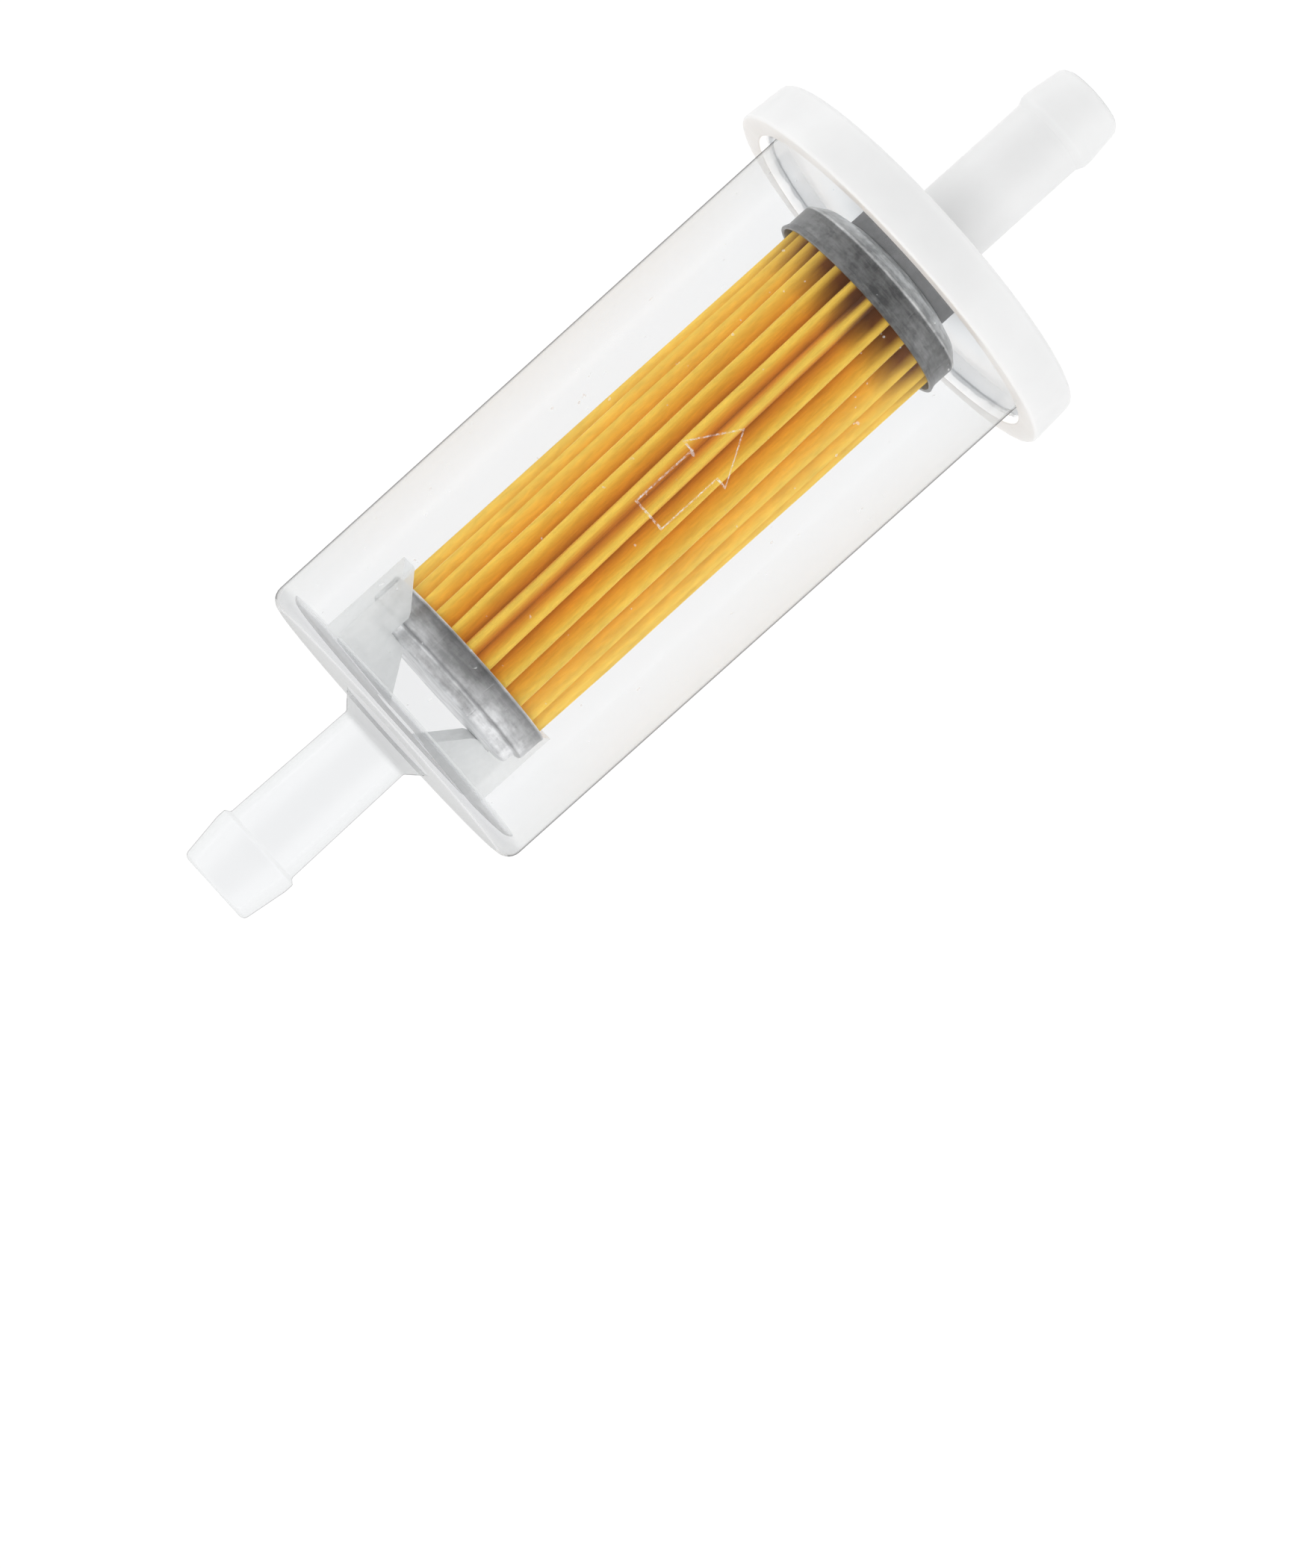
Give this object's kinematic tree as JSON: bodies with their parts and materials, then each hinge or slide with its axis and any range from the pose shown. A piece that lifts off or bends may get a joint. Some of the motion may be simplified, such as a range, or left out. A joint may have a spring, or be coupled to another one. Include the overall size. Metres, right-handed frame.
{
  "type": "fuel filter",
  "caption": "In-line fuel filter with barbed hose nipples, a clear housing, a white outlet cap and a pleated paper element.",
  "frame": {"origin": "on the flow axis, halfway between the two hose ends, which is the centre of the bounding box", "axes": "+X along the flow, from the inlet nipple to the outlet nipple; +Z towards the side with the raised flow arrow"},
  "size_m": [0.11, 0.0404, 0.0404],
  "materials": {
    "clear_housing": "clear moulded plastic, glossy",
    "white_nylon": "natural nylon, satin, slightly translucent",
    "filter_paper": "resin-treated filter paper, fine fibres",
    "bright_tinplate": "bright rolled tinplate, lightly scratched",
    "dull_steel": "dull grey plated steel, mottled",
    "bond": "set bonding compound, brown",
    "seal_rubber": "matt dark grey rubber"
  },
  "bodies": {
    "root": {"housing_body": "clear_housing", "outlet_cap": "white_nylon", "weld_bead": "clear_housing", "pleated_paper": "filter_paper", "seam_clip": "bright_tinplate", "lower_end_cap": "bright_tinplate", "upper_end_cap": "dull_steel", "lower_potting": "bond", "upper_potting": "bond", "core_tube": "bright_tinplate", "outlet_seal": "seal_rubber"}
  },
  "joints": []
}
